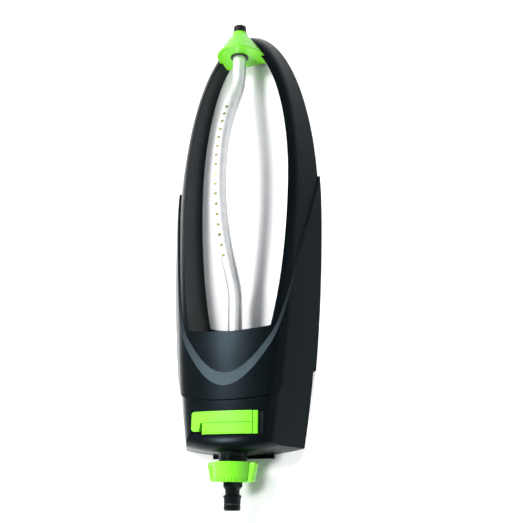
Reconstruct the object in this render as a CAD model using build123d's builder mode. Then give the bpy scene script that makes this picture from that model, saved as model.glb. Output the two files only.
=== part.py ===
from build123d import *
import os
from math import acos, asin, cos, degrees, pi, radians, sin, sqrt, tan

# Oscillating lawn sprinkler.  Millimetres, +Z up, +Y towards the end cap, -Y towards the hose.
# Origin: middle of the footprint, on the ground.

# ---- frame and housing: outer form -------------------------------------------------
nose_y = 254.0             # front tip of the frame at ground level
widest_y = 38.0            # where the frame is widest
end_y = -196.0             # corners of the inlet end
end_bulge = 7.0            # how far the inlet end bows out between its corners
half_width = 79.5          # half the frame's width on the ground
end_half_width = half_width - 17.0     # half the frame's width at the inlet end
form_height = 60.0         # height at which the upper outline is drawn
side_draft = 0.60          # inward lean of the flanks, per millimetre of height
end_side_draft = 0.48      # inward lean of the flanks at the inlet end
nose_draft = 0.50          # lean of the nose, per millimetre of height
end_draft = 0.04           # lean of the inlet end
wall = 2.5                 # thickness of the moulded shells
shoulder_radius = 18.0     # rounding where the roof meets the flanks and the inlet end
roof_margin = 20.0         # the roof is drawn this much wider than the frame on each side
roof_foot_z = -60.0        # and down to here
window_end_y = -83.0       # corners of the wall between window and housing
roof_stations = (          # along Y: height of the roof at the middle, radius of its crown
    (nose_y + 8.0, 18.5, half_width * 6.289),
    (widest_y - 10.0, 40.0, half_width * 3.145),
    (window_end_y - 4.0, 47.5, half_width * 2.264),
    (end_y - 18.0, 50.5, half_width * 1.761),
)

# ---- window between the arms --------------------------------------------------------
window_half_width = half_width - 27.5  # on the ground
window_widest_y = 70.0
window_nose_y = nose_y - 18.0
window_end_half_width = end_half_width - 25.5
window_end_bulge = 4.0
window_draft = 0.15        # the window opens upwards
window_nose_draft = -0.24
window_corner = 9.0        # plan radius of the corners at the housing wall
rib_pitch = 40.0           # stiffening ribs under each arm
rib_first_y = -40.0
rib_count = 6
rib_thickness = 1.6
rib_foot_z = 5.0

# ---- seam and jacket ----------------------------------------------------------------
seam_foot_y = -122.0       # seam between frame and inlet cover, on the ground
seam_lean = 0.60           # how far the seam runs back, per millimetre of height
seam_gap = 0.9
lip_depth = 6.0            # lip of the cover under the frame's edge
lip_wall = 1.6
jacket_skin = 2.6          # thickness of the jacket on the flanks
jacket_roof_skin = 1.8     # thickness of the jacket on the roof
jacket_tip_y = 79.0        # where the jacket's edge meets the ground
jacket_mid = (-32.0, 29.5) # a point half way along the jacket's edge (Y, Z)
jacket_rear = (seam_foot_y - 29.0, 53.25)   # above the roof, just ahead of the seam

# ---- spray axis and tube ------------------------------------------------------------
axis_z = 27.0              # height of the axis on which the tube swings
tube_radius = 7.0
tube_wall = 1.0
tube_lean = 10.0           # rest position: lean of the arch towards -X, degrees
tube_rise = 33.0           # height of the arch over the axis
arch_y = 69.0              # middle of the arch
arch_radius = 190.0
arch_angle = 25.0          # slope of the tube at the foot of the arch
foot_radius = 60.0
tube_set_back = 8.4        # the tube ends this far short of the cap's seat
nozzle_count = 17
nozzle_step = 3.0          # angle between nozzles on the arch
nozzle_radius = 1.3
nozzle_bore = 0.5
nozzle_proud = 0.35

# ---- end cap ------------------------------------------------------------------------
cap_face_y = nose_y - 37.3 # flat face towards the tube
cap_seat_y = cap_face_y + 27.7     # where the clean-out plug seats
tube_far_y = cap_seat_y - tube_set_back
cap_radius = 25.0          # arch of the flat face, about the spray axis
cap_cheek = (28.5, 15.0)   # widest point of the face: half width, height
cap_foot = (24.5, 3.0)     # lower corners of the face: half width, height
cap_seat_radius = tube_radius + 1.3
cap_collar = 2.4
cap_gap = 0.4              # joint line between cap and frame
nose_solid_y = cap_face_y - 11.7   # the frame is solid ahead of this, where it carries the cap
bush_outer = tube_radius + 2.5
bush_length = 11.0
running_gap = 0.1          # radial clearance of everything that turns
assembly_gap = 0.3         # clearance between pieces that only have to miss each other
plug_radius = tube_radius - 0.2
plug_length = 8.0
plug_shank_radius = tube_radius - 3.0
plug_shank_length = 12.0
plug_scallops = 10
plug_scallop_radius = 1.3
crown_depth = 3.0          # hollow in the outer face of the plug
cap_edge = 1.0             # rounding of the cap's flat face
bush_proud = 0.8
tip_grip = 10.0            # how far the tip's spigot goes into the tube
cap_screw = (20.5, cap_face_y + 6.8)
cap_screw_length = 16.0

# ---- gear motor ---------------------------------------------------------------------
gear_module = 0.5
wheel_teeth = 30
pinion_teeth = 10
pressure_angle = 25.0
tooth_addendum = 0.8       # of the module
tooth_dedendum = 1.1       # of the module
backlash = 0.12            # taken off each tooth at the pitch circle
axle_radius = 1.0
case_z = 22.0              # axis of the motor case
case_radius = 17.0
case_wall = 2.0
case_neck_y = window_end_y - 25.0  # front of the case's neck
case_front_y = case_neck_y - 20.5  # inner face of the case's front wall
case_rear_y = case_front_y - 31.5  # inner face of the case's lid
lid_thickness = 3.0
lid_spout = 7.0            # how far the lid's spout goes into the inlet pipe
jet_radius = 1.2
jet_circle = 5.5
wheel_face = 2.5           # width of the large gears
stage_pitch = 4.0          # step along the axis from one gear stage to the next
turbine_clear = 2.0        # from the lid to the turbine
vane_length = 9.0
vane_thickness = 0.8
turbine_core = 3.0
axle_gap = 0.05            # radial clearance of gears on their axles
axle_seat = 2.0            # how far each axle goes into the lid
port_radius = 1.2          # water ports through the output gear
port_circle = 3.8
hub_bore = tube_radius - 1.8
turbine_radius = 8.6
turbine_vanes = 12
jet_count = 6
port_count = 5
hub_journal = tube_radius + 1.0    # radius of the hub inside the case's neck
hub_barrel = tube_radius + 2.3     # radius of the hub's socket for the tube
hub_front_y = case_neck_y + 12.0
tube_near_y = case_neck_y - 4.0    # end of the tube inside the hub
seal_section = 0.9         # half the thickness of an O-ring
seal_gap = 0.05            # an O-ring as drawn misses the wall it seals by this much
hub_seal_steps = (7.5, 13.5)   # O-rings on the hub, back from the front of the case's neck
wall_bush_flange = bush_outer + 2.0
wall_bush_length = 6.5
wall_bush_flange_y = (window_end_y - 9.3, window_end_y - 7.3)

# ---- inlet ---------------------------------------------------------------------------
stub_radius = 13.2         # outside of the 3/4 inch hose thread
stub_bore = 8.5
stub_pipe_radius = 11.0
neck_length = 6.6          # threaded neck that shows between the housing and the nut
nut_near_y = end_y - end_bulge - neck_length   # face of the coupling nut towards the housing
nut_far_y = nut_near_y - 18.4
stub_tip_y = nut_near_y - 12.4
nut_radius = stub_radius + 6.3
nut_wing_reach = nut_radius + 6.0
nut_wing_thickness = 9.0
nut_grooves = 36
washer_thickness = 2.0
nipple_flange = 2.0
nipple_bore = 5.0
nipple_barrel = 8.1        # radius of the quick-connect barrel
nipple_ring = 8.7
nipple_waist = 7.0
nipple_collar_flats = 17.5
nipple_collar_y = nut_far_y - 4.5  # end of the hexagonal collar
nipple_waist_y = (nipple_collar_y - 2.5, nipple_collar_y - 6.5)
nipple_ring_y = (nipple_waist_y[1] - 1.2, nipple_waist_y[1] - 3.4)
nipple_groove_y = nipple_ring_y[1] - 5.6
nipple_tip_y = nipple_groove_y - 6.0
nipple_chamfer = 1.2
nut_lip = 1.9              # wall of the nut that holds the nipple's flange
nut_far_radius = nut_radius - 2.0
nut_wing_far = nut_wing_reach - 4.0
nut_edge = 2.0
groove_size = 0.8
groove_length = 9.0
stub_flange_radius = stub_radius + 2.8
stub_flange = 2.5
filter_wall = 0.7
filter_length = 24.0
filter_slots = 12
filter_slot = 1.6
gate_port = 7.6
gate_half_width = 12.0
gate_foot_z = 17.0
gate_box_x = 20.0
gate_box_y = 3.5
gate_box_z = (14.5, 38.0)
gland_thickness = 1.5

# ---- flow slider -------------------------------------------------------------------
slider_y = (end_y + 11.0, end_y + 32.4)
slider_x = (-35.0, 32.6)
slider_travel = 5.0
slider_hook = 10.0         # width of the hooked end
slider_notch = 2.4
slider_proud = 0.6
slider_hook_rise = 3.0     # the hook stops short of the bar's lower edge
slider_hook_radius = 3.0
slider_strip = 4.9         # stepped end of the slider
slider_step = 1.0
slider_groove = 0.8        # shallow groove along the slider
recess_floor_z = 44.0
finger_groove = (10.0, 2.4)     # groove that leads into the recess from the seam: length, width
finger_groove_z = 45.2
finger_groove_turn = 135.0
recess_floor = 2.0
stem_x = 0.0               # middle of the slider's stem
stem_length = 12.0
stem_width = 3.0
gate_y = sum(slider_y) / 2          # the gate stands under the middle of the slider
gate_thickness = 2.0

# ---- fasteners ----------------------------------------------------------------------
screw_radius = 1.5
screw_head_radius = 3.0
screw_head_height = 2.0
screw_length = 14.0
boss_radius = 4.0
frame_boss = (46.0, window_end_y - 21.0)
cover_boss = (44.0, end_y + 12.0)
base_thickness = 2.5
base_front_y = window_end_y - 9.0
screw_slot = 0.8
cradle_inset = 6.0
cradle_rib = 3.0
ledge_half_width = 32.0
ledge_reach = 2.0          # how far the base plate's tongue shows past the inlet end


# ---- shared planes and axes ---------------------------------------------------------
SPRAY_AXIS = Axis((0, 0, axis_z), (0, 1, 0))
TURNING = Plane(origin=(0, 0, axis_z))          # local x is the radius, local y is Y
SIDE_VIEW = Plane.YZ                            # local x is Y, local y is Z
SEAM = Plane(origin=(0, seam_foot_y, 0), x_dir=(1, 0, 0), z_dir=(0, 1, seam_lean))
COVER_EDGE = Plane(origin=(0, seam_foot_y - seam_gap, 0), x_dir=(1, 0, 0), z_dir=(0, 1, seam_lean))
LIP_EDGE = Plane(origin=(0, seam_foot_y + lip_depth, 0), x_dir=(1, 0, 0), z_dir=(0, 1, seam_lean))
LIP_ROOT = Plane(origin=(0, seam_foot_y - lip_depth, 0), x_dir=(1, 0, 0), z_dir=(0, 1, seam_lean))
BIG = 200.0                                     # longer than anything it cuts

gear_centres = gear_module * (wheel_teeth + pinion_teeth) / 2
lay_z = axis_z - gear_centres
lean = radians(tube_lean)
SWING = Plane(origin=(0, 0, axis_z), x_dir=(0, 1, 0), z_dir=(cos(lean), 0, sin(lean)))


def facing_hose(y, z=axis_z):
    """Plane across the machine at y, with local y upwards; extrusions run towards -Y."""
    return Plane(origin=(0, y, z), x_dir=(1, 0, 0), z_dir=(0, -1, 0))


def outline(*points):
    """Flat face inside a closed run of straight lines."""
    with BuildSketch() as flat:
        with BuildLine():
            Polyline(*points, close=True)
        make_face()
    return flat.sketch


def band(inner, outer, low, high):
    """Section of a ring: radii inner to outer, low to high along the axis."""
    return outline((inner, low), (outer, low), (outer, high), (inner, high))


def egg(reach, widest, nose, end_reach, end, bulge):
    """Closed plan outline: elliptical nose, long elliptical tail, shallow arc across the end."""
    tail = (widest - end) / sqrt(1 - (end_reach / reach) ** 2)
    sweep_angle = degrees(asin((widest - end) / tail))
    with BuildSketch() as plan:
        with BuildLine():
            EllipticalCenterArc((0, widest), reach, nose - widest, start_angle=0, arc_size=180)
            left = EllipticalCenterArc((0, widest), reach, tail, start_angle=180, arc_size=sweep_angle)
            right = EllipticalCenterArc(
                (0, widest), reach, tail, start_angle=-sweep_angle, arc_size=sweep_angle
            )
            ThreePointArc(left @ 1, (0, end - bulge), right @ 0)
        make_face()
    return plan.sketch


def roof_form(grow):
    """Everything under the crowned roof, with the roof raised by grow."""
    reach = half_width + roof_margin
    with BuildPart() as roof:
        for y, middle, crown in roof_stations:
            drop = crown - sqrt(crown**2 - reach**2)
            top = middle + grow
            with BuildSketch(Plane.XZ.offset(-y)):
                with BuildLine():
                    arc = ThreePointArc((-reach, top - drop), (0, top), (reach, top - drop))
                    Polyline(arc @ 1, (reach, roof_foot_z), (-reach, roof_foot_z), arc @ 0)
                make_face()
        loft()
    return roof.part


def roof_face(solid):
    """The largest face that looks upwards."""
    return solid.faces().filter_by(lambda face: face.normal_at().Z > 0.7).sort_by(SortBy.AREA)[-1]


def body_form(grow=0.0, roof_grow=0.0):
    """The outer form of the machine, its flanks moved out by grow and its roof by roof_grow."""
    with BuildPart() as form:
        with BuildSketch(Plane.XY):
            add(
                egg(
                    half_width + grow,
                    widest_y,
                    nose_y + grow,
                    end_half_width + grow,
                    end_y - grow,
                    end_bulge,
                )
            )
        with BuildSketch(Plane.XY.offset(form_height)):
            add(
                egg(
                    half_width + grow - side_draft * form_height,
                    widest_y,
                    nose_y + grow - nose_draft * form_height,
                    end_half_width + grow - end_side_draft * form_height,
                    end_y - grow + end_draft * form_height,
                    end_bulge,
                )
            )
        loft(ruled=True)
        add(roof_form(roof_grow), mode=Mode.INTERSECT)
        fillet(roof_face(form).edges(), shoulder_radius + roof_grow)
    return form.part


def window_form(grow=0.0):
    """The window between the arms, its walls moved out by grow."""
    with BuildPart() as window:
        for height in (0, form_height):
            opened = grow + window_draft * height
            with BuildSketch(Plane.XY.offset(height)):
                add(
                    egg(
                        window_half_width + opened,
                        window_widest_y,
                        window_nose_y + grow + window_nose_draft * height,
                        window_end_half_width + opened,
                        window_end_y - grow,
                        window_end_bulge,
                    )
                )
        loft(ruled=True)
        corners = window.edges().filter_by(lambda edge: edge.length > form_height - 1).sort_by(Axis.Y)[:2]
        fillet(corners, window_corner)
    return window.part


def cap_section(radius, cheek, foot, grow):
    """Section of the end cap: an arch about the spray axis, out to the cheeks, in to the feet."""
    with BuildSketch() as section:
        with BuildLine():
            arch = ThreePointArc((-radius - grow, 0), (0, radius + grow), (radius + grow, 0))
            Polyline(
                arch @ 1,
                (cheek[0] + grow, cheek[1] - axis_z),
                (foot[0] + grow, foot[1] - axis_z - grow),
                (-foot[0] - grow, foot[1] - axis_z - grow),
                (-cheek[0] - grow, cheek[1] - axis_z),
                arch @ 0,
            )
        make_face()
    return section.sketch


def cap_form(grow=0.0):
    """The end cap as a solid, grown all round for the pocket that it sits in."""
    seat_low = axis_z - cap_seat_radius
    with BuildPart() as cap:
        with BuildSketch(facing_hose(cap_face_y)):
            add(cap_section(cap_radius, cap_cheek, cap_foot, grow))
        with BuildSketch(facing_hose(cap_seat_y - cap_collar)):
            add(
                cap_section(
                    cap_seat_radius,
                    (cap_seat_radius + 0.3, seat_low + 3),
                    (cap_seat_radius - 0.3, seat_low),
                    grow,
                )
            )
        loft(ruled=True)
        with BuildSketch(facing_hose(cap_seat_y)):
            Circle(cap_seat_radius + grow)
        extrude(amount=cap_collar)
    return cap.part


def involute(angle):
    return tan(angle) - angle


def gear_face(teeth, phase):
    """Spur gear outline; the middle of one tooth points along phase, in degrees."""
    pitch = gear_module * teeth / 2
    base = pitch * cos(radians(pressure_angle))
    root = pitch - tooth_dedendum * gear_module
    tip = pitch + tooth_addendum * gear_module
    half_tooth = pi / (2 * teeth) - backlash / (2 * pitch) + involute(radians(pressure_angle))

    def flank(radius):
        if radius <= base:
            return half_tooth
        return half_tooth - involute(acos(base / radius))

    sunk = root - axle_gap                          # the teeth start inside the gear's body
    radii = (sunk, max(base, root), (max(base, root) + pitch) / 2, pitch, (pitch + tip) / 2, tip)
    right_side = [(radius * cos(flank(radius)), -radius * sin(flank(radius))) for radius in radii]
    left_side = [(x, -y) for x, y in reversed(right_side)]
    with BuildSketch() as gear:
        Circle(root)
        with PolarLocations(0, teeth, start_angle=phase):
            Polygon(*right_side, *left_side, align=None)
    return gear.sketch


def nozzle_seat(index):
    """Place of one nozzle on the outside of the arch, its axis square to the tube."""
    turn = radians(nozzle_step * (index - (nozzle_count - 1) / 2))
    reach = arch_radius + tube_radius - tube_wall / 2
    along = arch_y + reach * sin(turn)
    height = tube_rise - arch_radius + reach * cos(turn)
    outwards = SWING.x_dir * sin(turn) + SWING.y_dir * cos(turn)
    return Plane(SWING.from_local_coords((along, height, 0)), z_dir=outwards).location


nozzle_seats = [nozzle_seat(index) for index in range(nozzle_count)]

os.makedirs("parts", exist_ok=True)


def finish(name, piece):
    """Label a finished piece and write it out."""
    piece.label = name
    export_step(piece, f"parts/{name}.step")


# ---- housing: frame, jacket, inlet cover, base plate --------------------------------
jacket_edge_top = form_height + 10

with BuildPart() as arm_hollow:
    add(body_form(-wall, -wall))
    add(window_form(wall), mode=Mode.SUBTRACT)
    split(bisect_by=Plane.XZ.offset(-nose_solid_y), keep=Keep.TOP)

with BuildPart() as slider_pocket:
    with BuildSketch(Plane.XY.offset(recess_floor_z)):
        with Locations(((slider_x[0] + slider_x[1] + slider_travel) / 2, gate_y)):
            Rectangle(
                slider_x[1] - slider_x[0] + slider_travel + 2 * assembly_gap,
                slider_y[1] - slider_y[0] + 2 * assembly_gap,
            )
    extrude(amount=form_height - recess_floor_z)

with BuildPart() as pocket_tray:
    add(slider_pocket.part)
    offset(amount=recess_floor, openings=slider_pocket.faces().sort_by(Axis.Z)[-1])
    add(body_form(-wall / 2, -wall / 2), mode=Mode.INTERSECT)

boss_places = [(side * frame_boss[0], frame_boss[1]) for side in (-1, 1)]
boss_places += [(side * cover_boss[0], cover_boss[1]) for side in (-1, 1)]
cap_screw_places = [(side * cap_screw[0], cap_screw[1]) for side in (-1, 1)]

with BuildPart() as screw_bosses:
    with BuildSketch(Plane.XY.offset(base_thickness)):
        with Locations(*boss_places):
            Circle(boss_radius)
    extrude(amount=form_height)
    add(body_form(-wall / 2, -wall / 2), mode=Mode.INTERSECT)
    with BuildSketch(Plane.XY.offset(base_thickness)):
        with Locations(*boss_places):
            Circle(screw_radius)
    extrude(amount=screw_length - base_thickness, mode=Mode.SUBTRACT)

with BuildPart() as arm_ribs:
    with BuildSketch(Plane.XY.offset(rib_foot_z)):
        with Locations(*[(0, rib_first_y + index * rib_pitch) for index in range(rib_count)]):
            Rectangle(2 * half_width, rib_thickness)
    extrude(amount=form_height)
    add(body_form(-wall / 2, -wall / 2), mode=Mode.INTERSECT)
    add(window_form(wall / 2), mode=Mode.SUBTRACT)

with BuildPart() as frame:
    add(body_form())
    add(window_form(), mode=Mode.SUBTRACT)
    add(arm_hollow.part, mode=Mode.SUBTRACT)
    add(screw_bosses.part)
    add(arm_ribs.part)
    split(bisect_by=SEAM, keep=Keep.TOP)
    add(cap_form(cap_gap), mode=Mode.SUBTRACT)
    with BuildSketch(facing_hose(window_end_y)):
        Circle(bush_outer)
    extrude(amount=BIG, mode=Mode.SUBTRACT)
    with Locations(*[(x, y, 0) for x, y in cap_screw_places]):
        CounterBoreHole(screw_radius + running_gap, screw_head_radius + running_gap, screw_head_height)
finish("frame", frame.part)

with BuildPart() as jacket:
    add(body_form(jacket_skin, jacket_roof_skin))
    add(body_form(), mode=Mode.SUBTRACT)
    with BuildSketch(SIDE_VIEW):
        with BuildLine():
            edge = ThreePointArc((jacket_tip_y, 0), jacket_mid, jacket_rear)
            Polyline(
                edge @ 1,
                (jacket_rear[0], jacket_edge_top),
                (seam_foot_y - seam_lean * jacket_edge_top, jacket_edge_top),
                (seam_foot_y, 0),
                edge @ 0,
            )
        make_face()
    extrude(amount=BIG, both=True, mode=Mode.INTERSECT)
finish("jacket", jacket.part)

with BuildPart() as cover_lip:
    add(body_form(-wall, -wall))
    add(body_form(-wall - lip_wall, -wall - lip_wall), mode=Mode.SUBTRACT)
    split(bisect_by=LIP_EDGE, keep=Keep.BOTTOM)
    split(bisect_by=LIP_ROOT, keep=Keep.TOP)
    with BuildSketch(Plane.XY):
        Rectangle(BIG, 2 * BIG)
    extrude(amount=lip_depth, mode=Mode.SUBTRACT)

with BuildPart() as inlet_cover:
    add(body_form())
    add(arm_hollow.part, mode=Mode.SUBTRACT)
    add(pocket_tray.part)
    add(screw_bosses.part)
    split(bisect_by=COVER_EDGE, keep=Keep.BOTTOM)
    add(cover_lip.part)
    add(slider_pocket.part, mode=Mode.SUBTRACT)
    with BuildSketch(Plane.XY.offset(finger_groove_z)):
        with Locations((slider_x[0] + slider_hook_radius, slider_y[1] + slider_hook_radius)):
            SlotOverall(*finger_groove, rotation=finger_groove_turn)
    extrude(amount=form_height, mode=Mode.SUBTRACT)
    with BuildSketch(facing_hose(end_y)):
        Circle(stub_radius + assembly_gap)
    extrude(amount=BIG, both=True, mode=Mode.SUBTRACT)
    with BuildSketch(Plane.XY.offset(recess_floor_z)):
        with Locations((stem_x + slider_travel / 2, gate_y)):
            Rectangle(stem_length + slider_travel + 2 * assembly_gap, stem_width + 2 * assembly_gap)
    extrude(amount=-2 * recess_floor, mode=Mode.SUBTRACT)
    with BuildSketch(Plane.XY):
        with Locations((0, end_y - end_bulge)):
            Rectangle(2 * (ledge_half_width + assembly_gap), 4 * wall)
    extrude(amount=base_thickness + assembly_gap, mode=Mode.SUBTRACT)
finish("inlet_cover", inlet_cover.part)

with BuildPart() as base_plate:
    add(body_form(-wall - assembly_gap, -wall - assembly_gap))
    split(bisect_by=Plane.XY.offset(base_thickness), keep=Keep.BOTTOM)
    split(bisect_by=Plane.XZ.offset(-base_front_y), keep=Keep.TOP)
    with BuildSketch(Plane.XY):
        with Locations((0, end_y)):
            Rectangle(2 * ledge_half_width, 2 * (end_bulge + ledge_reach))
    extrude(amount=base_thickness)
    with Locations(*[(x, y, 0) for x, y in boss_places]):
        CounterBoreHole(screw_radius + running_gap, screw_head_radius + running_gap, screw_head_height)
    for cradle_y in (case_front_y - cradle_inset, case_rear_y + cradle_inset):
        with BuildSketch(facing_hose(cradle_y, 0)):
            with Locations((0, base_thickness)):
                Rectangle(2 * case_radius, case_z - base_thickness, align=(Align.CENTER, Align.MIN))
            with Locations((0, case_z)):
                Circle(case_radius, mode=Mode.SUBTRACT)
        extrude(amount=cradle_rib)
finish("base_plate", base_plate.part)

with BuildPart() as base_screws:
    with BuildSketch(Plane.XY):
        with Locations(*boss_places):
            Circle(screw_head_radius)
    extrude(amount=screw_head_height)
    with BuildSketch(Plane.XY):
        with Locations(*boss_places):
            Circle(screw_radius)
    extrude(amount=screw_length)
    with BuildSketch(Plane.XY):
        with Locations(*boss_places):
            Rectangle(2 * screw_radius, screw_slot)
            Rectangle(screw_slot, 2 * screw_radius)
    extrude(amount=screw_slot, mode=Mode.SUBTRACT)
finish("base_screws", base_screws.part)

# ---- end cap, its screws and the far bearing ----------------------------------------
with BuildPart() as end_cap:
    add(cap_form())
    fillet(end_cap.faces().sort_by(Axis.Y)[0].edges(), cap_edge)
    with BuildSketch(facing_hose(cap_seat_y)):
        Circle(tube_radius + assembly_gap)
    extrude(amount=cap_seat_y - cap_face_y, mode=Mode.SUBTRACT)
    with BuildSketch(facing_hose(cap_face_y + bush_length)):
        Circle(bush_outer)
    extrude(amount=bush_length, mode=Mode.SUBTRACT)
    with BuildSketch(Plane.XY):
        with Locations(*cap_screw_places):
            Circle(screw_radius)
    extrude(amount=cap_screw_length, mode=Mode.SUBTRACT)
finish("end_cap", end_cap.part)

with BuildPart() as cap_screws:
    with BuildSketch(Plane.XY):
        with Locations(*cap_screw_places):
            Circle(screw_head_radius)
    extrude(amount=screw_head_height)
    with BuildSketch(Plane.XY):
        with Locations(*cap_screw_places):
            Circle(screw_radius)
    extrude(amount=cap_screw_length)
    with BuildSketch(Plane.XY):
        with Locations(*cap_screw_places):
            Rectangle(2 * screw_radius, screw_slot)
            Rectangle(screw_slot, 2 * screw_radius)
    extrude(amount=screw_slot, mode=Mode.SUBTRACT)
finish("cap_screws", cap_screws.part)

with BuildPart() as cap_bush:
    with BuildSketch(TURNING):
        add(band(tube_radius + running_gap, bush_outer, cap_face_y - bush_proud, cap_face_y + bush_length))
    revolve(axis=SPRAY_AXIS)
finish("cap_bush", cap_bush.part)

# ---- spray tube and what is fixed to it ----------------------------------------------
corner_rise = tube_rise + arch_radius * (1 / cos(radians(arch_angle)) - 1)
arch_half_span = corner_rise / tan(radians(arch_angle))

with BuildPart() as spray_tube:
    with BuildLine(SWING) as tube_line:
        FilletPolyline(
            (tube_near_y, 0),
            (arch_y - arch_half_span, 0),
            (arch_y, corner_rise),
            (arch_y + arch_half_span, 0),
            (tube_far_y, 0),
            radius=[foot_radius, arch_radius, foot_radius],
        )
    with BuildSketch(facing_hose(tube_near_y)):
        Circle(tube_radius)
        Circle(tube_radius - tube_wall, mode=Mode.SUBTRACT)
    sweep(path=tube_line.wires()[0])
    with Locations(*nozzle_seats):
        Cylinder(nozzle_radius, 4 * tube_wall, mode=Mode.SUBTRACT)
finish("spray_tube", spray_tube.part)

with BuildPart() as nozzle_inserts:
    with Locations(*nozzle_seats):
        Cylinder(nozzle_radius, tube_wall + 2 * nozzle_proud)
    with Locations(*nozzle_seats):
        Cylinder(nozzle_bore, 4 * tube_wall, mode=Mode.SUBTRACT)
finish("nozzle_inserts", nozzle_inserts.part)

plug_face_y = cap_seat_y + assembly_gap
with BuildPart() as tube_tip:
    with BuildSketch(TURNING):
        add(
            outline(
                (plug_shank_radius + running_gap, tube_far_y - tip_grip),
                (tube_radius - tube_wall, tube_far_y - tip_grip),
                (tube_radius - tube_wall, tube_far_y),
                (tube_radius, tube_far_y),
                (tube_radius, cap_seat_y),
                (plug_shank_radius + 2 * seal_section, cap_seat_y),
                (plug_shank_radius + 2 * seal_section, cap_seat_y - 2 * seal_section),
                (plug_shank_radius + running_gap, cap_seat_y - 2 * seal_section),
            )
        )
    revolve(axis=SPRAY_AXIS)
finish("tube_tip", tube_tip.part)

with BuildPart() as cleanout_plug:
    with BuildSketch(facing_hose(plug_face_y + plug_length)):
        Circle(plug_radius)
        with PolarLocations(plug_radius + plug_scallop_radius / 2, plug_scallops):
            Circle(plug_scallop_radius, mode=Mode.SUBTRACT)
    extrude(amount=plug_length)
    with BuildSketch(facing_hose(plug_face_y + plug_length)):
        Circle(plug_shank_radius)
    extrude(amount=crown_depth, mode=Mode.SUBTRACT)
    with BuildSketch(facing_hose(plug_face_y)):
        Circle(plug_shank_radius)
    extrude(amount=plug_shank_length)
finish("cleanout_plug", cleanout_plug.part)

with BuildPart() as plug_seal:
    with BuildSketch(TURNING):
        with Locations((plug_shank_radius + seal_section, cap_seat_y - seal_section)):
            Circle(seal_section)
    revolve(axis=SPRAY_AXIS)
finish("plug_seal", plug_seal.part)

# ---- gear motor ------------------------------------------------------------------------
turbine_y = case_rear_y + turbine_clear
first_pinion_y = turbine_y + vane_length
stage_gap = (stage_pitch - wheel_face) / 2
wheel_rear = [first_pinion_y + 2 * stage_gap + stage * stage_pitch for stage in range(4)]
output_rear_y = wheel_rear[3]
hub_rear_y = output_rear_y + wheel_face
main_tooth = -90.0                                    # main gears: a tooth points at the lay axle
lay_wheel_tooth = 90.0 + 180.0 / wheel_teeth          # lay gears: a gap points at the main axle
lay_pinion_tooth = 90.0 + 180.0 / pinion_teeth
neck_bore = hub_journal + running_gap

with BuildPart() as motor_case:
    with BuildSketch(facing_hose(case_front_y + case_wall, case_z)):
        Circle(case_radius)
    extrude(amount=case_front_y + case_wall - case_rear_y)
    with BuildSketch(facing_hose(case_front_y, case_z)):
        Circle(case_radius - case_wall)
    extrude(amount=case_front_y - case_rear_y, mode=Mode.SUBTRACT)
    with BuildSketch(facing_hose(case_neck_y)):
        Circle(neck_bore + case_wall)
    extrude(amount=case_neck_y - case_front_y)
    with BuildSketch(facing_hose(case_front_y, lay_z)):
        Circle(2 * axle_radius)
    extrude(amount=axle_seat)
    with BuildSketch(facing_hose(case_neck_y)):
        Circle(neck_bore)
    extrude(amount=BIG, mode=Mode.SUBTRACT)
    with BuildSketch(facing_hose(case_front_y + case_wall / 2, lay_z)):
        Circle(axle_radius)
    extrude(amount=BIG, mode=Mode.SUBTRACT)
finish("motor_case", motor_case.part)

with BuildPart() as motor_lid:
    with BuildSketch(facing_hose(case_rear_y, case_z)):
        Circle(case_radius)
    extrude(amount=lid_thickness)
    with BuildSketch(facing_hose(case_rear_y - lid_thickness)):
        Circle(stub_bore - running_gap)
        Circle(stub_bore - running_gap - filter_wall, mode=Mode.SUBTRACT)
    extrude(amount=lid_spout)
    with BuildSketch(facing_hose(case_rear_y)):
        with PolarLocations(jet_circle, jet_count):
            Circle(jet_radius)
    extrude(amount=lid_thickness, mode=Mode.SUBTRACT)
    for axle_z in (axis_z, lay_z):
        with BuildSketch(facing_hose(case_rear_y, axle_z)):
            Circle(axle_radius)
        extrude(amount=axle_seat, mode=Mode.SUBTRACT)
finish("motor_lid", motor_lid.part)

with BuildPart() as case_seal:
    with BuildSketch(facing_hose(case_rear_y + 2 * seal_section, case_z)):
        Circle(case_radius - case_wall)
        Circle(case_radius - case_wall - 2 * seal_section, mode=Mode.SUBTRACT)
    extrude(amount=2 * seal_section)
finish("case_seal", case_seal.part)

with BuildPart() as main_axle:
    with BuildSketch(facing_hose(output_rear_y + wheel_face / 2)):
        Circle(axle_radius)
    extrude(amount=output_rear_y + wheel_face / 2 - case_rear_y + axle_seat)
finish("main_axle", main_axle.part)

with BuildPart() as lay_axle:
    with BuildSketch(facing_hose(case_front_y + case_wall / 2, lay_z)):
        Circle(axle_radius)
    extrude(amount=case_front_y + case_wall / 2 - case_rear_y + axle_seat)
finish("lay_axle", lay_axle.part)

with BuildPart() as turbine:
    with BuildSketch(facing_hose(first_pinion_y)):
        Circle(turbine_core)
        with PolarLocations(0, turbine_vanes):
            with Locations((turbine_radius / 2, 0)):
                Rectangle(turbine_radius, vane_thickness)
    extrude(amount=vane_length)
    with BuildSketch(facing_hose(wheel_rear[0] + wheel_face - assembly_gap)):
        add(gear_face(pinion_teeth, main_tooth))
    extrude(amount=wheel_rear[0] + wheel_face - assembly_gap - first_pinion_y)
    with BuildSketch(facing_hose(case_front_y)):
        Circle(axle_radius + axle_gap)
    extrude(amount=BIG, mode=Mode.SUBTRACT)
finish("turbine", turbine.part)

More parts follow.
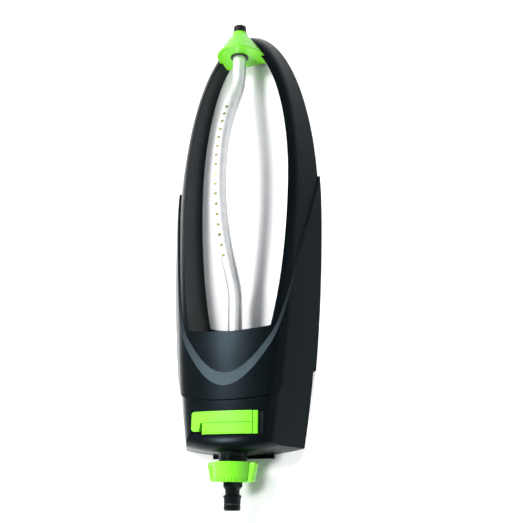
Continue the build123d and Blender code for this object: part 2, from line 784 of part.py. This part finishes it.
gear_stages = (
    ("lay_gear_rear", lay_z, lay_wheel_tooth, lay_pinion_tooth),
    ("main_gear", axis_z, main_tooth, main_tooth),
    ("lay_gear_front", lay_z, lay_wheel_tooth, lay_pinion_tooth),
)
for stage, (gear_name, gear_z, wheel_phase, pinion_phase) in enumerate(gear_stages):
    rear = wheel_rear[stage]
    pinion_front = wheel_rear[stage + 1] + wheel_face - assembly_gap
    with BuildPart() as compound_gear:
        with BuildSketch(facing_hose(rear + wheel_face, gear_z)):
            add(gear_face(wheel_teeth, wheel_phase))
        extrude(amount=wheel_face)
        with BuildSketch(facing_hose(pinion_front, gear_z)):
            add(gear_face(pinion_teeth, pinion_phase))
        extrude(amount=pinion_front - rear - wheel_face)
        with BuildSketch(facing_hose(pinion_front, gear_z)):
            Circle(axle_radius + axle_gap)
        extrude(amount=BIG, mode=Mode.SUBTRACT)
    finish(gear_name, compound_gear.part)

with BuildPart() as output_gear:
    with BuildSketch(facing_hose(hub_rear_y)):
        add(gear_face(wheel_teeth, main_tooth))
        with PolarLocations(port_circle, port_count):
            Circle(port_radius, mode=Mode.SUBTRACT)
    extrude(amount=wheel_face)
    with BuildSketch(facing_hose(output_rear_y + wheel_face / 2 + axle_gap)):
        Circle(axle_radius + axle_gap)
    extrude(amount=wheel_face, mode=Mode.SUBTRACT)
finish("output_gear", output_gear.part)

seal_places = [case_neck_y - step for step in hub_seal_steps]
seal_circle = neck_bore - seal_gap - seal_section
with BuildPart() as tube_hub:
    with BuildSketch(TURNING):
        add(
            outline(
                (hub_bore, hub_rear_y),
                (hub_journal, hub_rear_y),
                (hub_journal, case_neck_y + assembly_gap),
                (hub_barrel, case_neck_y + assembly_gap),
                (hub_barrel, hub_front_y),
                (tube_radius, hub_front_y),
                (tube_radius, tube_near_y),
                (hub_bore, tube_near_y),
            )
        )
        for seal_y in seal_places:
            add(
                band(
                    seal_circle - seal_section,
                    hub_barrel,
                    seal_y - seal_section - seal_gap,
                    seal_y + seal_section + seal_gap,
                ),
                mode=Mode.SUBTRACT,
            )
    revolve(axis=SPRAY_AXIS)
finish("tube_hub", tube_hub.part)

with BuildPart() as hub_seals:
    with BuildSketch(TURNING):
        with Locations(*[(seal_circle, seal_y) for seal_y in seal_places]):
            Circle(seal_section)
    revolve(axis=SPRAY_AXIS)
finish("hub_seals", hub_seals.part)

wall_bush_front_y = window_end_y - window_end_bulge + bush_proud
with BuildPart() as wall_bush:
    with BuildSketch(TURNING):
        add(
            band(
                tube_radius + running_gap, bush_outer, wall_bush_front_y - wall_bush_length, wall_bush_front_y
            )
        )
        add(band(tube_radius + running_gap, wall_bush_flange, *wall_bush_flange_y))
    revolve(axis=SPRAY_AXIS)
finish("wall_bush", wall_bush.part)

# ---- inlet -------------------------------------------------------------------------------
end_radius = (end_half_width**2 + end_bulge**2) / (2 * end_bulge)
end_wall_lean = end_draft * (axis_z + stub_flange_radius)
end_wall_sag = stub_flange_radius**2 / (2 * end_radius)
stub_flange_y = end_y - end_bulge + wall + end_wall_lean + end_wall_sag + assembly_gap
stub_front_y = case_rear_y - lid_thickness - assembly_gap
gate_slot = gate_thickness / 2 + running_gap
with BuildPart() as stub_collar:
    with BuildSketch(TURNING):
        add(band(stub_pipe_radius, stub_flange_radius, stub_flange_y, stub_flange_y + stub_flange))
    revolve(axis=SPRAY_AXIS)
    add(body_form(-wall - assembly_gap, -wall - assembly_gap), mode=Mode.INTERSECT)

with BuildPart() as inlet_stub:
    with BuildSketch(TURNING):
        add(
            outline(
                (stub_bore, stub_tip_y),
                (stub_radius, stub_tip_y),
                (stub_radius, stub_flange_y + stub_flange),
                (stub_pipe_radius, stub_flange_y + stub_flange),
                (stub_pipe_radius, stub_front_y),
                (stub_bore, stub_front_y),
            )
        )
    revolve(axis=SPRAY_AXIS)
    add(stub_collar.part)
    with Locations((0, gate_y, sum(gate_box_z) / 2)):
        Box(2 * gate_box_x, 2 * gate_box_y, gate_box_z[1] - gate_box_z[0])
    with BuildSketch(facing_hose(stub_front_y)):
        Circle(stub_bore)
    extrude(amount=BIG, mode=Mode.SUBTRACT)
    with BuildSketch(Plane.XY.offset(gate_foot_z - running_gap)):
        with Locations((slider_travel / 2, gate_y)):
            Rectangle(2 * (gate_half_width + assembly_gap) + slider_travel, 2 * gate_slot)
    extrude(amount=form_height, mode=Mode.SUBTRACT)
finish("inlet_stub", inlet_stub.part)

with BuildPart() as gate_gland:
    with BuildSketch(Plane.XY.offset(gate_box_z[1])):
        with Locations((0, gate_y)):
            Rectangle(2 * gate_box_x, 2 * gate_box_y)
        with Locations((stem_x + slider_travel / 2, gate_y)):
            Rectangle(stem_length + slider_travel + 2 * assembly_gap, 2 * gate_slot, mode=Mode.SUBTRACT)
    extrude(amount=gland_thickness)
finish("gate_gland", gate_gland.part)

slider_low = recess_floor_z + assembly_gap
with BuildPart() as flow_gate:
    with BuildSketch(facing_hose(gate_y + gate_thickness / 2, 0)):
        with Locations((0, gate_foot_z)):
            Rectangle(
                2 * gate_half_width,
                gate_box_z[1] - assembly_gap - gate_foot_z,
                align=(Align.CENTER, Align.MIN),
            )
        with Locations((stem_x, gate_box_z[1] - 2 * assembly_gap)):
            Rectangle(
                stem_length,
                slider_low - gate_box_z[1] + 2 * assembly_gap,
                align=(Align.CENTER, Align.MIN),
            )
        with Locations((0, axis_z)):
            Circle(gate_port, mode=Mode.SUBTRACT)
    extrude(amount=gate_thickness)
finish("flow_gate", flow_gate.part)

hook_end_x = slider_x[0] + slider_hook
bar_end_x = slider_x[1] - slider_strip
with BuildPart() as slider_cuts:
    with BuildSketch(Plane.XY.offset(slider_low)):
        with Locations(((hook_end_x + slider_notch + bar_end_x) / 2, gate_y)):
            Rectangle(bar_end_x - hook_end_x - 2 * slider_notch, slider_groove)
        with Locations((bar_end_x, gate_y)):
            Rectangle(BIG, BIG, align=(Align.MIN, Align.CENTER))
    extrude(amount=form_height - slider_low)
    add(body_form(roof_grow=slider_proud - slider_step), mode=Mode.SUBTRACT)

with BuildPart() as flow_slider:
    with BuildSketch(Plane.XY.offset(slider_low)):
        with BuildLine():
            Polyline(
                (slider_x[0], slider_y[1]),
                (slider_x[1], slider_y[1]),
                (slider_x[1], slider_y[0]),
                (hook_end_x + slider_notch, slider_y[0]),
                (hook_end_x + slider_notch, gate_y),
                (hook_end_x, gate_y),
                (hook_end_x - slider_notch / 2, slider_y[0] + slider_hook_rise),
                (slider_x[0], slider_y[0] + slider_hook_rise),
                close=True,
            )
        make_face()
        fillet(vertices().sort_by(Axis.X)[:2], slider_hook_radius)
    extrude(amount=form_height - slider_low)
    add(body_form(roof_grow=slider_proud), mode=Mode.INTERSECT)
    add(slider_cuts.part, mode=Mode.SUBTRACT)
finish("flow_slider", flow_slider.part)

# ---- hose coupling -------------------------------------------------------------------------
washer_far_y = stub_tip_y - washer_thickness
flange_far_y = washer_far_y - nipple_flange
flange_radius = stub_radius - running_gap
with BuildPart() as hose_washer:
    with BuildSketch(TURNING):
        add(band(stub_bore, flange_radius, washer_far_y, stub_tip_y))
    revolve(axis=SPRAY_AXIS)
finish("hose_washer", hose_washer.part)

with BuildPart() as inlet_filter:
    with BuildSketch(TURNING):
        add(
            outline(
                (0, stub_tip_y + filter_length),
                (stub_bore - filter_wall, stub_tip_y + filter_length),
                (stub_bore - filter_wall, stub_tip_y + filter_wall),
                (stub_bore, stub_tip_y + filter_wall),
                (stub_bore, stub_tip_y),
                (stub_bore - 2 * filter_wall, stub_tip_y),
                (stub_bore - 2 * filter_wall, stub_tip_y + filter_length - filter_wall),
                (0, stub_tip_y + filter_length - filter_wall),
            )
        )
    revolve(axis=SPRAY_AXIS)
    with BuildSketch(facing_hose(stub_tip_y + filter_length - 2 * filter_wall)):
        with PolarLocations(stub_bore, filter_slots):
            Rectangle(2 * stub_bore / 2, filter_slot)
    extrude(amount=filter_length - 4 * filter_wall, mode=Mode.SUBTRACT)
finish("inlet_filter", inlet_filter.part)

with BuildPart() as hose_nipple:
    with BuildSketch(TURNING):
        add(
            outline(
                (nipple_bore, washer_far_y),
                (flange_radius, washer_far_y),
                (flange_radius, flange_far_y),
                (nipple_ring, flange_far_y),
                (nipple_ring, nipple_collar_y),
                (nipple_waist, nipple_waist_y[0]),
                (nipple_waist, nipple_waist_y[1]),
                (nipple_ring, nipple_ring_y[0]),
                (nipple_ring, nipple_ring_y[1]),
                (nipple_barrel, nipple_ring_y[1]),
                (nipple_barrel, nipple_tip_y + nipple_chamfer),
                (nipple_barrel - nipple_chamfer, nipple_tip_y),
                (nipple_bore, nipple_tip_y),
            )
        )
        add(
            band(
                nipple_barrel - 2 * seal_section,
                nipple_ring,
                nipple_groove_y - seal_section - seal_gap,
                nipple_groove_y + seal_section + seal_gap,
            ),
            mode=Mode.SUBTRACT,
        )
    revolve(axis=SPRAY_AXIS)
    with BuildSketch(facing_hose(flange_far_y)):
        RegularPolygon(nipple_collar_flats / 2, 6, major_radius=False)
        Circle(nipple_bore, mode=Mode.SUBTRACT)
    extrude(amount=flange_far_y - nipple_collar_y)
finish("hose_nipple", hose_nipple.part)

with BuildPart() as nipple_seal:
    with BuildSketch(TURNING):
        with Locations((nipple_barrel - seal_section, nipple_groove_y)):
            Circle(seal_section)
    revolve(axis=SPRAY_AXIS)
finish("nipple_seal", nipple_seal.part)

nut_bore = stub_radius + running_gap
with BuildPart() as coupling_nut:
    with BuildSketch(facing_hose(nut_near_y)):
        Circle(nut_radius)
    with BuildSketch(facing_hose(nut_far_y)):
        Circle(nut_far_radius)
    loft()
    with BuildSketch(TURNING):
        with BuildLine():
            Polyline(
                (-nut_wing_reach, nut_near_y),
                (nut_wing_reach, nut_near_y),
                (nut_wing_far, nut_far_y),
                (-nut_wing_far, nut_far_y),
                close=True,
            )
        make_face()
    extrude(amount=nut_wing_thickness / 2, both=True)
    fillet(coupling_nut.edges().filter_by(GeomType.LINE), nut_edge)
    with BuildSketch(facing_hose(nut_near_y)):
        Circle(nut_bore)
    extrude(amount=nut_near_y - nut_far_y - nut_lip, mode=Mode.SUBTRACT)
    with BuildSketch(facing_hose(nut_near_y)):
        Circle(nipple_collar_flats / sqrt(3) + running_gap)
    extrude(amount=nut_near_y - nut_far_y, mode=Mode.SUBTRACT)
    with BuildSketch(facing_hose(nut_far_y + groove_length)):
        with PolarLocations(nut_far_radius, nut_grooves):
            Rectangle(groove_size, groove_size)
    extrude(amount=groove_length, mode=Mode.SUBTRACT)
finish("coupling_nut", coupling_nut.part)
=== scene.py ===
from math import cos, pi, radians, sin

import bpy
from mathutils import Matrix, Vector


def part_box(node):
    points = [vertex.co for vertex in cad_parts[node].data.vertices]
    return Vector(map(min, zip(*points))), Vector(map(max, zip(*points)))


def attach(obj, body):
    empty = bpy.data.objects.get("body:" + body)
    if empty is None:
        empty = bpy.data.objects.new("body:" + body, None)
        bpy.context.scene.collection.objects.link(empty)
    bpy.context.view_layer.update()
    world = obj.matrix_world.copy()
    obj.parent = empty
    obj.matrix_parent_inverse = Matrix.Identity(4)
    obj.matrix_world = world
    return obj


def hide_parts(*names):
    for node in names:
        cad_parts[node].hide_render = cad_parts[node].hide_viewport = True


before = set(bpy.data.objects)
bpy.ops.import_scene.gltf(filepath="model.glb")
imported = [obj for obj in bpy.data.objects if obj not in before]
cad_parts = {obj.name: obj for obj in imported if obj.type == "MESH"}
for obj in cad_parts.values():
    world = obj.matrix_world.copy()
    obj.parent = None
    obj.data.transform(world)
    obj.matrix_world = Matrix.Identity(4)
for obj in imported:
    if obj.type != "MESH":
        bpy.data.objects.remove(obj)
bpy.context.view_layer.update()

# Oscillating lawn sprinkler: finishes, small turned and moulded pieces, studio.
# Metres, +Z up, +Y towards the end cap, -Y towards the hose.

MM = 0.001

# ---- places taken from the frame ---------------------------------------------------------
tip_low, tip_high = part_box("tube_tip")
nut_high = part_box("coupling_nut")[1]
axis_z = (tip_low.z + tip_high.z) / 2           # the axis on which the tube swings


# ---- colours and shader nodes --------------------------------------------------------------
def linear(colour):
    """An sRGB hex colour as linear RGBA."""
    channels = [int(colour[start:start + 2], 16) / 255 for start in (1, 3, 5)]
    bent = [c / 12.92 if c <= 0.04045 else ((c + 0.055) / 1.055) ** 2.4 for c in channels]
    return (*bent, 1.0)


def put(tree, kind, inputs=None, **settings):
    """Adds one node; inputs are values, or the sockets that feed it."""
    made = tree.nodes.new(kind)
    for name, value in settings.items():
        setattr(made, name, value)
    for socket, value in (inputs or {}).items():
        if isinstance(value, bpy.types.NodeSocket):
            tree.links.new(value, made.inputs[socket])
        else:
            made.inputs[socket].default_value = value
    return made


def blank(name):
    """A material with an empty tree, and the coordinates of the piece it is on."""
    material = bpy.data.materials.new(name)
    material.use_nodes = True
    tree = material.node_tree
    tree.nodes.clear()
    place = put(tree, "ShaderNodeTexCoord").outputs["Object"]
    return material, tree, place


def ramp(tree, fac, low, high, low_colour, high_colour):
    """Blends two colours as fac goes from low to high."""
    made = put(tree, "ShaderNodeValToRGB", {"Fac": fac})
    first, last = made.color_ramp.elements
    first.position, first.color = low, low_colour
    last.position, last.color = high, high_colour
    return made.outputs["Color"]


def spread(tree, fac, low, high):
    """Maps fac from 0..1 to low..high."""
    made = put(tree, "ShaderNodeMapRange", {"Value": fac, "To Min": low, "To Max": high})
    return made.outputs["Result"]


def shade(tree, **inputs):
    """Ends a material in one principled shader."""
    named = {name.replace("_", " "): value for name, value in inputs.items()}
    shader = put(tree, "ShaderNodeBsdfPrincipled", named)
    put(tree, "ShaderNodeOutputMaterial", {"Surface": shader.outputs["BSDF"]})


flow_cloud = 40 * MM                 # size of the clouds that the melt leaves in a moulding
flow_blend = (0.12, 0.42)            # part of the cloud pattern over which the colour changes
gloss_swing = 0.05                   # how far the roughness wanders either way
metal_bloom = 9 * MM                 # size of the dull patches on bare metal
bloom_blend = (0.3, 0.7)
line_gloss = (-0.06, 0.08)           # roughness at the bottom and the top of the tool lines


def moulded(name, dark, light, grain_mm, rough, relief_mm, ior, sheen=0.5, tint="#FFFFFF"):
    """Moulded plastic: a textured tool's grain, cloudy flow colour, slightly uneven gloss."""
    material, tree, place = blank(name)
    grain = put(tree, "ShaderNodeTexVoronoi", {"Vector": place, "Scale": 1 / (grain_mm * MM)})
    fine = put(tree, "ShaderNodeTexNoise", {"Vector": place, "Scale": 2 / (grain_mm * MM), "Detail": 2.0})
    cloud = put(tree, "ShaderNodeTexNoise", {"Vector": place, "Scale": 1 / flow_cloud, "Detail": 3.0})
    mixed = put(
        tree, "ShaderNodeMath", {0: cloud.outputs["Fac"], 1: fine.outputs["Fac"]}, operation="MULTIPLY"
    )
    colour = ramp(tree, mixed.outputs[0], *flow_blend, linear(dark), linear(light))
    height = put(
        tree, "ShaderNodeMath", {0: grain.outputs["Distance"], 1: fine.outputs["Fac"]}, operation="ADD"
    )
    bump = put(
        tree, "ShaderNodeBump", {"Height": height.outputs[0], "Distance": relief_mm * MM, "Strength": 1.0}
    )
    shade(
        tree,
        Base_Color=colour,
        Roughness=spread(tree, cloud.outputs["Fac"], rough - gloss_swing, rough + gloss_swing),
        IOR=ior,
        Specular_IOR_Level=sheen,
        Specular_Tint=linear(tint),
        Normal=bump.outputs["Normal"],
    )
    return material


def metal(name, dark, light, rough, line_mm, stretch, relief_mm):
    """Worked metal: fine lines left by the die or the lathe, stretched along the given directions."""
    material, tree, place = blank(name)
    turned = put(tree, "ShaderNodeMapping", {"Vector": place, "Scale": stretch})
    lines = put(
        tree,
        "ShaderNodeTexNoise",
        {"Vector": turned.outputs["Vector"], "Scale": 1 / (line_mm * MM), "Detail": 3.0},
    )
    bloom = put(tree, "ShaderNodeTexNoise", {"Vector": place, "Scale": 1 / metal_bloom, "Detail": 4.0})
    colour = ramp(tree, bloom.outputs["Fac"], *bloom_blend, linear(dark), linear(light))
    bump = put(
        tree,
        "ShaderNodeBump",
        {"Height": lines.outputs["Fac"], "Distance": relief_mm * MM, "Strength": 1.0},
    )
    shade(
        tree,
        Base_Color=colour,
        Metallic=1.0,
        Roughness=spread(tree, lines.outputs["Fac"], rough + line_gloss[0], rough + line_gloss[1]),
        Normal=bump.outputs["Normal"],
    )
    return material


# ---- finishes ----------------------------------------------------------------------------------
# Polypropylene moulded in a spark-eroded tool: near black, satin, a fine grain and a cool sheen.
textured_black = moulded(
    "textured_black_polypropylene", "#030607", "#070C0E", 0.9, 0.30, 0.03, 1.49, 0.18, "#A9C6D6"
)
# The same plastic from a smoother tool: a little glossier, hardly any grain.
smooth_black = moulded(
    "smooth_black_polypropylene", "#06090A", "#0B0F11", 0.6, 0.28, 0.01, 1.49, 0.2, "#BFD2DC"
)
# Acetal copolymer, black: waxy sheen, for bearings and plugs.
black_acetal = moulded("black_acetal", "#08090B", "#0F1013", 0.7, 0.34, 0.01, 1.48, 0.3)
# Acetal, natural: milky white with a waxy sheen, for gears.
white_acetal = moulded("natural_acetal", "#DAD8CE", "#EAE8E0", 0.7, 0.36, 0.01, 1.48)
# Glass-filled nylon: mid grey, slightly cloudy, for the motor's casing.
grey_nylon = moulded("glass_filled_nylon", "#3A3D40", "#4A4E52", 0.8, 0.5, 0.03, 1.53)
# ABS, lime: polished tool, satin gloss, strong even colour.
lime_abs = moulded("polished_lime_abs", "#71DA1E", "#83E92F", 0.8, 0.30, 0.012, 1.53)
# Nitrile rubber: black, dull, faint bloom.
nitrile = moulded("nitrile_rubber", "#0C0C0D", "#161617", 0.5, 0.6, 0.02, 1.52)
# Woven polyester strainer cup: pale grey.
strainer = moulded("strainer_polyester", "#B9BDBE", "#D2D5D6", 0.5, 0.55, 0.04, 1.57)
# Drawn aluminium tube, satin: faint lines along its length from the die.
drawn_aluminium = metal("drawn_aluminium", "#EEF1F1", "#FAFBFB", 0.50, 0.5, (1, 0.04, 1), 0.003)
# Turned brass jets: warm, a little dulled by water.
turned_brass = metal("turned_brass", "#8E8A5C", "#B4AF7C", 0.42, 0.3, (1, 1, 1), 0.004)
# Ground steel axles.
ground_steel = metal("ground_steel", "#A6A8AB", "#BEC0C2", 0.26, 0.3, (1, 0.05, 1), 0.003)
# Zinc-plated steel screws: bright with a bluish passivated bloom.
zinc_plate = metal("zinc_plated_steel", "#A9AEB6", "#C4C9CE", 0.34, 0.3, (1, 1, 1), 0.004)

finishes = {
    textured_black: "frame jacket inlet_cover base_plate",
    smooth_black: "hose_nipple inlet_stub",
    black_acetal: "cap_bush wall_bush tube_tip tube_hub cleanout_plug",
    white_acetal: "output_gear turbine lay_gear_rear main_gear lay_gear_front flow_gate",
    grey_nylon: "motor_case motor_lid",
    lime_abs: "end_cap flow_slider coupling_nut",
    nitrile: "hub_seals plug_seal case_seal gate_gland hose_washer nipple_seal",
    strainer: "inlet_filter",
    drawn_aluminium: "spray_tube",
    turned_brass: "nozzle_inserts",
    ground_steel: "main_axle lay_axle",
    zinc_plate: "base_screws cap_screws",
}
for material, names in finishes.items():
    for name in names.split():
        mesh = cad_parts[name].data
        mesh.materials.clear()
        mesh.materials.append(material)


# ---- small pieces made by geometry nodes ---------------------------------------------------------
def growth(name, sizes):
    """An empty geometry tree with one named input for each size, and its output node."""
    tree = bpy.data.node_groups.new(name, "GeometryNodeTree")
    tree.interface.new_socket("Geometry", in_out="OUTPUT", socket_type="NodeSocketGeometry")
    for label, value in sizes.items():
        kind = "NodeSocketInt" if isinstance(value, int) else "NodeSocketFloat"
        tree.interface.new_socket(label, in_out="INPUT", socket_type=kind)
    entry = put(tree, "NodeGroupInput")
    return tree, entry.outputs


def grown(name, tree, sizes, geometry, material, body):
    """Ends the tree, runs it on an empty piece with these sizes, and keeps the plain mesh."""
    real = put(tree, "GeometryNodeRealizeInstances", {"Geometry": geometry})
    painted = put(
        tree, "GeometryNodeSetMaterial", {"Geometry": real.outputs["Geometry"], "Material": material}
    )
    put(tree, "NodeGroupOutput", {"Geometry": painted.outputs["Geometry"]})
    piece = bpy.data.objects.new(name, bpy.data.meshes.new(name + "_seed"))
    bpy.context.scene.collection.objects.link(piece)
    modifier = piece.modifiers.new(name, "NODES")
    modifier.node_group = tree
    for item in tree.interface.items_tree:
        if item.in_out == "INPUT":
            modifier[item.identifier] = sizes[item.name]
    graph = bpy.context.evaluated_depsgraph_get()
    mesh = bpy.data.meshes.new_from_object(piece.evaluated_get(graph))
    mesh.name = name
    piece.modifiers.clear()
    piece.data = mesh
    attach(piece, body)
    return piece


def math_of(tree, operation, first, second):
    """The result of one sum in a tree."""
    return put(tree, "ShaderNodeMath", {0: first, 1: second}, operation=operation).outputs[0]


# Jets: a row of turned nozzles along the arch of the tube.  Each is a flared collar, a domed
# lip and a bored tip, stood at the arch's radius and then turned to its own angle.
arch_radius = 190.0 * MM                   # of the tube's middle line
tube_radius = 7.0 * MM
tube_rise = 33.0 * MM                      # top of that line above the axis
lip_section = 0.28 * MM                    # radius of the rounded edge around the lip
tip_section = 0.22 * MM                    # and of the edge around the bore
jet_sizes = {
    "Count": 17,
    "Step": radians(3.0),
    "Reach": arch_radius + tube_radius,
    "Collar": 1.75 * MM,
    "Lip": 1.25 * MM,
    "Height": 1.1 * MM,
    "Bore": 0.5 * MM,
}
arch_middle_y = 69.0 * MM
arch_centre_rise = tube_rise - arch_radius
tube_lean = radians(10.0)

tree, size = growth("jet_row", jet_sizes)
half_height = math_of(tree, "MULTIPLY", size["Height"], 0.5)
collar = put(
    tree,
    "GeometryNodeMeshCone",
    {"Vertices": 24, "Radius Top": size["Lip"], "Radius Bottom": size["Collar"], "Depth": half_height},
)
rim_path = put(tree, "GeometryNodeCurvePrimitiveCircle", {"Resolution": 24, "Radius": size["Lip"]})
rim_section = put(tree, "GeometryNodeCurvePrimitiveCircle", {"Resolution": 8, "Radius": lip_section})
rim = put(
    tree,
    "GeometryNodeCurveToMesh",
    {"Curve": rim_path.outputs["Curve"], "Profile Curve": rim_section.outputs["Curve"]},
)
rim_up = put(
    tree,
    "GeometryNodeTransform",
    {
        "Geometry": rim.outputs["Mesh"],
        "Translation": put(tree, "ShaderNodeCombineXYZ", {"Z": half_height}).outputs[0],
    },
)
spout_path = put(tree, "GeometryNodeCurvePrimitiveCircle", {"Resolution": 16, "Radius": size["Bore"]})
spout_section = put(tree, "GeometryNodeCurvePrimitiveCircle", {"Resolution": 8, "Radius": tip_section})
spout = put(
    tree,
    "GeometryNodeCurveToMesh",
    {"Curve": spout_path.outputs["Curve"], "Profile Curve": spout_section.outputs["Curve"]},
)
spout_up = put(
    tree,
    "GeometryNodeTransform",
    {
        "Geometry": spout.outputs["Mesh"],
        "Translation": put(tree, "ShaderNodeCombineXYZ", {"Z": half_height}).outputs[0],
    },
)
jet = put(tree, "GeometryNodeJoinGeometry")
for part in (spout_up.outputs["Geometry"], rim_up.outputs["Geometry"], collar.outputs["Mesh"]):
    tree.links.new(part, jet.inputs[0])
stood = put(
    tree,
    "GeometryNodeTransform",
    {
        "Geometry": jet.outputs[0],
        "Translation": put(tree, "ShaderNodeCombineXYZ", {"Z": size["Reach"]}).outputs[0],
    },
)
row = put(tree, "GeometryNodeMeshLine", {"Count": size["Count"], "Offset": (0, 0, 0)})
middle = math_of(tree, "MULTIPLY", math_of(tree, "SUBTRACT", size["Count"], 1.0), 0.5)
place_in_row = math_of(tree, "SUBTRACT", put(tree, "GeometryNodeInputIndex").outputs[0], middle)
angle = math_of(tree, "MULTIPLY", place_in_row, size["Step"])
turn = put(tree, "ShaderNodeCombineXYZ", {"X": math_of(tree, "MULTIPLY", angle, -1.0)})
jets_in_row = put(
    tree,
    "GeometryNodeInstanceOnPoints",
    {"Points": row.outputs["Mesh"], "Instance": stood.outputs["Geometry"], "Rotation": turn.outputs[0]},
)
leaned = put(
    tree,
    "GeometryNodeTransform",
    {
        "Geometry": jets_in_row.outputs["Instances"],
        "Translation": (
            -sin(tube_lean) * arch_centre_rise,
            arch_middle_y,
            axis_z + cos(tube_lean) * arch_centre_rise,
        ),
        "Rotation": (0, -tube_lean, 0),
    },
)
jets = grown("jet_nozzles", tree, jet_sizes, leaned.outputs["Geometry"], turned_brass, "tube")
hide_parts("nozzle_inserts")

# Hose thread: a helical ridge on the neck between the inlet end and the coupling nut.
thread_start = 0.7 * MM          # gap between the nut and the first turn
thread_sizes = {"Turns": 3.0, "Radius": 13.15 * MM, "Pitch": 1.81 * MM, "Ridge": 0.62 * MM}
tree, size = growth("neck_thread", thread_sizes)
helix = put(
    tree,
    "GeometryNodeCurveSpiral",
    {
        "Resolution": 48,
        "Rotations": size["Turns"],
        "Start Radius": size["Radius"],
        "End Radius": size["Radius"],
        "Height": math_of(tree, "MULTIPLY", size["Turns"], size["Pitch"]),
    },
)
ridge = put(tree, "GeometryNodeCurvePrimitiveCircle", {"Resolution": 6, "Radius": size["Ridge"]})
thread = put(
    tree,
    "GeometryNodeCurveToMesh",
    {"Curve": helix.outputs["Curve"], "Profile Curve": ridge.outputs["Curve"], "Fill Caps": True},
)
laid = put(
    tree,
    "GeometryNodeTransform",
    {
        "Geometry": thread.outputs["Mesh"],
        "Translation": (0, nut_high.y + thread_start, axis_z),
        "Rotation": (-pi / 2, 0, 0),
    },
)
grown("neck_thread", tree, thread_sizes, laid.outputs["Geometry"], smooth_black, "housing")

# ---- studio ------------------------------------------------------------------------------------
swing = radians(22.3)            # camera's swing to the right of straight overhead
tilt = radians(15.9)             # and towards the hose end
roll = radians(0.66)
aim = Vector((17.8, -13.7, 27.0)) * MM
distance = 890 * MM

right = Vector((cos(swing), 0, -sin(swing)))
up = Vector((sin(swing) * sin(tilt), cos(tilt), cos(swing) * sin(tilt)))
back = right.cross(up)
camera_data = bpy.data.cameras.new("camera")
camera_data.lens = 61.3
camera_data.sensor_width = 36
camera_data.clip_start = 0.01
camera = bpy.data.objects.new("camera", camera_data)
bpy.context.scene.collection.objects.link(camera)
rolled_right = right * cos(roll) + up * sin(roll)
rolled_up = up * cos(roll) - right * sin(roll)
camera.matrix_world = Matrix.Translation(aim + back * distance) @ Matrix(
    (rolled_right, rolled_up, back)
).transposed().to_4x4()
bpy.context.scene.camera = camera


def softbox(name, place, target, size, power):
    """A square area light at place, facing target."""
    data = bpy.data.lights.new(name, "AREA")
    data.shape = "SQUARE"
    data.size = size
    data.energy = power
    lamp = bpy.data.objects.new(name, data)
    bpy.context.scene.collection.objects.link(lamp)
    lamp.location = place
    lamp.rotation_euler = (Vector(target) - Vector(place)).to_track_quat("-Z", "Y").to_euler()


# Over the far end, small enough to leave a bright streak along the roof.
softbox("far_key", (-0.82, 0.72, 1.85), (0, -0.1, 0), 0.45, 46)
# Over the hose end: lights the cap's face, the slider and the rounding below it.
softbox("near_key", (-0.75, -1.35, 1.45), (0, -0.15, 0), 0.45, 36)
# Two weak fills, so that the flanks don't go fully black.
softbox("left_fill", (-2.2, -0.2, 1.0), (0, 0, 0), 1.4, 5)
softbox("right_fill", (2.2, 0.1, 1.1), (0, 0, 0), 1.4, 4)

sky_colour = "#F2F5FA"
sky_strength = 0.4
world = bpy.data.worlds.new("studio")
world.use_nodes = True
world.node_tree.nodes["Background"].inputs["Color"].default_value = linear(sky_colour)
world.node_tree.nodes["Background"].inputs["Strength"].default_value = sky_strength
bpy.context.scene.world = world
bpy.context.scene.view_settings.view_transform = "Standard"

floor_mesh = bpy.data.meshes.new("floor")
floor_reach = 6.0
floor_mesh.from_pydata(
    [
        (-floor_reach, -floor_reach, 0),
        (floor_reach, -floor_reach, 0),
        (floor_reach, floor_reach, 0),
        (-floor_reach, floor_reach, 0),
    ],
    [],
    [(0, 1, 2, 3)],
)
floor = bpy.data.objects.new("floor", floor_mesh)
bpy.context.scene.collection.objects.link(floor)
# Matt painted studio floor, nearly white.
floor_paint, tree, place = blank("matt_white_floor")
mottle = put(tree, "ShaderNodeTexNoise", {"Vector": place, "Scale": 3.0})
shade(
    tree,
    Base_Color=ramp(tree, mottle.outputs["Fac"], 0.3, 0.7, linear("#F4F4F4"), linear("#F8F8F8")),
    Roughness=0.9,
)
floor_mesh.materials.append(floor_paint)
